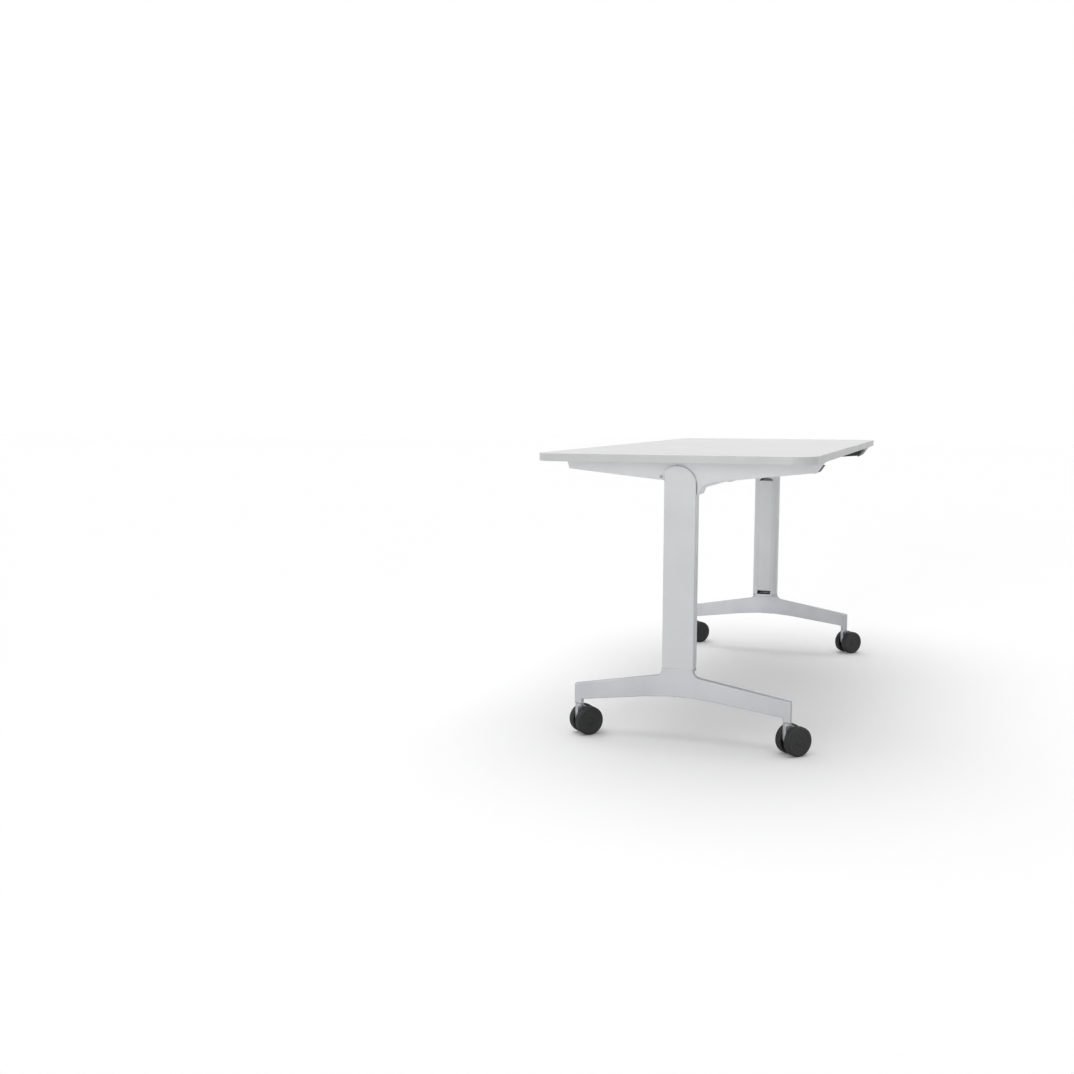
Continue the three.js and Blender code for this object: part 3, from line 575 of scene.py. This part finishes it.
def tread(node, stand, radius):
    """Tread round the wheel body, with a rounded shoulder and a run-off groove on each half."""
    core = radius - TREAD_THICKNESS
    edge = TREAD_INSET - WHEEL_HALF_WIDTH
    seat = core + TREAD_GAP
    half = [(core + up * MM, edge + in_from * MM) for up, in_from in TREAD_SHOULDER]
    for lift, width in ((0, GROOVE_MOUTH), (-GROOVE_DEPTH, GROOVE_FLOOR)):
        half.append((radius + lift, -GROOVE_PLACE - width / 2))
    for lift, width in ((-GROOVE_DEPTH, GROOVE_FLOOR), (0, GROOVE_MOUTH)):
        half.append((radius + lift, -GROOVE_PLACE + width / 2))
    mirrored = [(reach, -along) for reach, along in reversed(half)]
    bm = bmesh.new()
    turn(bm, [(seat, edge), *half, *mirrored, (seat, -edge), (seat, edge)], TREAD_SIDES, stand)
    bmesh.ops.remove_doubles(bm, verts=bm.verts, dist=WELD)
    solid = nodes[node]
    new_piece(f"{node}_tread", bm, polyurethane_cast, solid["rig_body"], solid.material_slots[0].name)


def wheel(castor, place):
    """One of a castor's two wheels, with its cap away from the blade."""
    node = f"castor_wheel_{castor}_{place}"
    centre = middle(node)
    outward = (centre - middle(f"castor_axle_{castor}")).normalized()
    stand = facing(outward, centre)
    wheel_body(node, stand)
    tread(node, stand, centre.z)


# Rest pads, springs, screws and grip lines


def rest_pad(side):
    """Rubber strip, pressed down on the head and bulging a little towards the saddle."""
    node = f"rest_pad_{side}"
    bm = welded(node)
    hub = middle(f"tube_ring_{side}")
    reach = {vert: (vert.co.yz - hub.yz).length for vert in bm.verts}
    halfway = (min(reach.values()) + max(reach.values())) / 2
    for vert, radius in reach.items():
        grown = radius + (PAD_BULGE if radius > halfway else -PAD_SEAT)
        vert.co.yz = hub.yz + (vert.co.yz - hub.yz) * grown / radius
    replace_node(node, "strip", bm, rubber_extruded)


def wire_ring(bm, centre, outward):
    """Round section of the spring's wire."""
    ring = []
    for step in range(WIRE_SIDES):
        angle = 2 * math.pi * step / WIRE_SIDES
        around = math.cos(angle) * outward + math.sin(angle) * Vector((1, 0, 0))
        ring.append(bm.verts.new(centre + WIRE_RADIUS * around))
    return ring


def spring(side):
    """Coil of round wire round the lever's pin."""
    node = f"lever_spring_{side}"
    low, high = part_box(node)
    centre = middle(node)
    radius = (high.y - low.y) / 2 - WIRE_RADIUS
    start, end = low.x + WIRE_RADIUS, high.x - WIRE_RADIUS
    steps = SPRING_TURNS * SPRING_STEPS
    bm = bmesh.new()
    rings = []
    for step in range(steps + 1):
        angle = 2 * math.pi * step / SPRING_STEPS
        outward = Vector((0, math.cos(angle), math.sin(angle)))
        x = start + (end - start) * step / steps
        rings.append(wire_ring(bm, Vector((x, centre.y, centre.z)) + radius * outward, outward))
    for before, after in zip(rings, rings[1:]):
        for here in range(WIRE_SIDES):
            there = (here + 1) % WIRE_SIDES
            bm.faces.new((before[here], before[there], after[there], after[here]))
    bm.faces.new(rings[0])
    bm.faces.new(rings[-1])
    replace_node(node, "coil", bm, spring_wire_drawn)


def screws(name, head, places, body):
    """One piece of several screw heads, each seated at a place and pointing down."""
    profile = [(radius * MM, height * MM, *flats) for radius, height, *flats in head]
    bm = bmesh.new()
    for place in places:
        turn(bm, profile, SCREW_SIDES, facing((0, 0, -1), place))
    new_piece(name, bm, steel_zinc_plated, body, "steel")


def rail_screws(side, inward):
    """Screws through the rail's outer flange into the board."""
    low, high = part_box(f"rail_{side}")
    outer = low.x if inward > 0 else high.x
    places = []
    for share in FLANGE_SCREWS:
        x = outer + inward * (FLANGE_WIDTH / 2 + RAIL_BOW * share**2)
        y = (low.y + high.y) / 2 + share * (high.y - low.y) / 2
        places.append(Vector((x, y, high.z - FLANGE_THICKNESS)))
    screws(f"rail_{side}_screws", PAN_HEAD, places, "top")


def collar_screw(side):
    """Grub screw in the underside of the tube's collar."""
    place = middle(f"tube_ring_{side}")
    place.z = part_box(f"tube_ring_{side}")[0].z + GRUB_SINK
    screws(f"tube_ring_{side}_grub", GRUB_HEAD, [place], "frame")


def foot_screws(side, inward):
    """Two screws in the crest of the foot's arch."""
    low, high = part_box(f"foot_{side}")
    x = (low.x if inward > 0 else high.x) + inward * FOOT_THICKNESS / 2
    y = (low.y + high.y) / 2
    places = [Vector((x, y + way * FOOT_SCREWS / 2, ARCH_CREST + FOOT_SCREW_SINK)) for way in (-1, 1)]
    screws(f"foot_{side}_screws", LOW_HEAD, places, "frame")


def grip_lines(side, inward):
    """Fine ridges along the slanting front of the finger bar."""
    low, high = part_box(f"lever_{side}")
    tip = (high.x if inward > 0 else low.x) - inward * GRIP_MARGIN
    top = Vector((tip, low.y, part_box("table_top")[0].z - BAR_DROP))
    down = Vector((0, BAR_SLANT, -BAR_HEIGHT))
    start = (down.length - (GRIP_LINES - 1) * GRIP_PITCH) / 2
    end = GRIP_RADIUS / 2
    ridge = [(0, 0), (GRIP_RADIUS, end), (GRIP_RADIUS, GRIP_LENGTH - end), (0, GRIP_LENGTH)]
    bm = bmesh.new()
    for line in range(GRIP_LINES):
        place = top + down.normalized() * (start + line * GRIP_PITCH)
        turn(bm, ridge, GRIP_SIDES, facing((-inward, 0, 0), place))
    new_piece(f"lever_{side}_grip", bm, nylon_moulded_black, f"lever_{side}", "black_plastic")


# Broken edges and finishes of the CAD solids: name, ending, finish, arris in millimetres
DRESSED = [
    ("cross_tube", "tube", steel_powder_coated, 0.5),
    ("centre_support", "collar", steel_powder_coated, 1.0),
]
LEG_PIECES = [
    ("foot", "casting", aluminium_die_cast, 0.6),
    ("column", "extrusion", aluminium_powder_coated, 0.2),
    ("column_cover", "strip", aluminium_powder_coated, 0.2),
    ("head", "casting", aluminium_powder_coated, 0.4),
    ("tube_ring", "collar", aluminium_powder_coated, 1.0),
    ("pivot_bush", "turning", acetal_turned, 0.3),
    ("rail", "casting", aluminium_powder_coated, 0.4),
    ("pivot_pin", "turning", steel_phosphated, 0.3),
    ("lever", "moulding", nylon_moulded_black, 0.7),
    ("lever_pin", "turning", steel_zinc_plated, 0.4),
    ("pull_link", "stamping", steel_zinc_plated, 0.3),
    ("latch", "stamping", steel_zinc_plated, 0.3),
    ("latch_pin", "turning", steel_zinc_plated, 0.3),
]
CASTOR_PIECES = [
    ("castor_body", "casting", aluminium_die_cast, 0.5),
    ("castor_stem", "turning", steel_zinc_plated, 0.4),
    ("castor_axle", "turning", steel_zinc_plated, 0.3),
]


def dress_all():
    """Every piece that keeps the shape of its solid."""
    for node, ending, material, arris in DRESSED:
        dress(node, ending, material, arris)
    for side in ("left", "right"):
        for start, ending, material, arris in LEG_PIECES:
            dress(f"{start}_{side}", ending, material, arris)
        for end in ("front", "rear"):
            for start, ending, material, arris in CASTOR_PIECES:
                dress(f"{start}_{side}_{end}", ending, material, arris)


# Stage


def camera():
    """The table from its left end, a little from the front."""
    data = bpy.data.cameras.new("camera")
    data.lens = CAMERA_LENS
    data.sensor_width = SENSOR
    data.clip_end = CAMERA_REACH
    made = bpy.data.objects.new("camera", data)
    bpy.context.scene.collection.objects.link(made)
    heading = Matrix.Rotation(math.radians(CAMERA_YAW - 90), 4, "Z")
    tilt = Matrix.Rotation(math.radians(90 + CAMERA_PITCH), 4, "X")
    roll = Matrix.Rotation(math.radians(CAMERA_ROLL), 4, "Z")
    made.matrix_world = Matrix.Translation(CAMERA_PLACE) @ heading @ tilt @ roll
    bpy.context.scene.camera = made


def seen_directly(tree):
    """1 for rays that show the surroundings in the picture, in metal or through glass, and 0 for light."""
    path = add_node(tree, "LightPath").outputs
    mirrored = maths(tree, "MAXIMUM", path["Is Camera Ray"], path["Is Glossy Ray"])
    return maths(tree, "MAXIMUM", mirrored, path["Is Transmission Ray"])


def sky():
    """White surroundings that light the table less than they show in the picture."""
    world = bpy.data.worlds.new("studio")
    world.use_nodes = True
    tree = world.node_tree
    place = add_node(tree, "TexCoord").outputs["Generated"]
    across = add_node(tree, "SeparateXYZ", None, {0: place}).outputs["Y"]
    side = maths(tree, "MULTIPLY_ADD", across, SKY_SIDE, SKY_LEVEL)
    background = tree.nodes["Background"]
    background.inputs["Color"].default_value = linear("#FFFFFF")
    tree.links.new(spread(tree, seen_directly(tree), low=side), background.inputs["Strength"])
    bpy.context.scene.world = world


def lamp(name, level, width, turned):
    """A broad, even light from far away."""
    data = bpy.data.lights.new(name, "SUN")
    data.energy = level * math.pi
    data.angle = math.radians(width)
    made = bpy.data.objects.new(name, data)
    made.rotation_euler = [math.radians(angle) for angle in turned]
    bpy.context.scene.collection.objects.link(made)


def paper():
    """Matt white paper, lifted a little in the picture without lighting the table by it."""
    material = bpy.data.materials.new("paper_floor")
    material.use_nodes = True
    tree = material.node_tree
    shader = tree.nodes["Principled BSDF"]
    shader.inputs["Base Color"].default_value = linear("#FAFAFA")
    shader.inputs["Roughness"].default_value = FLOOR_ROUGHNESS
    shader.inputs["Specular IOR Level"].default_value = 0.0
    shader.inputs["Emission Color"].default_value = linear("#FFFFFF")
    tree.links.new(spread(tree, seen_directly(tree), high=FLOOR_LIFT), shader.inputs["Emission Strength"])
    return material


def floor():
    """Floor that takes the table's shadow."""
    bm = bmesh.new()
    bmesh.ops.create_grid(bm, x_segments=1, y_segments=1, size=FLOOR_SIZE / 2)
    mesh = bpy.data.meshes.new("floor")
    bm.to_mesh(mesh)
    bm.free()
    mesh.materials.append(paper())
    made = bpy.data.objects.new("floor", mesh)
    bpy.context.scene.collection.objects.link(made)


camera()
sky()
for settings in LAMPS:
    lamp(*settings)
floor()
board()
edging()
dress_all()
for side, inward in (("left", 1), ("right", -1)):
    rest_pad(side)
    spring(side)
    rail_screws(side, inward)
    collar_screw(side)
    foot_screws(side, inward)
    grip_lines(side, inward)
    for end in ("front", "rear"):
        for place in ("outer", "inner"):
            wheel(f"{side}_{end}", place)

bpy.context.scene.view_settings.view_transform = "Standard"
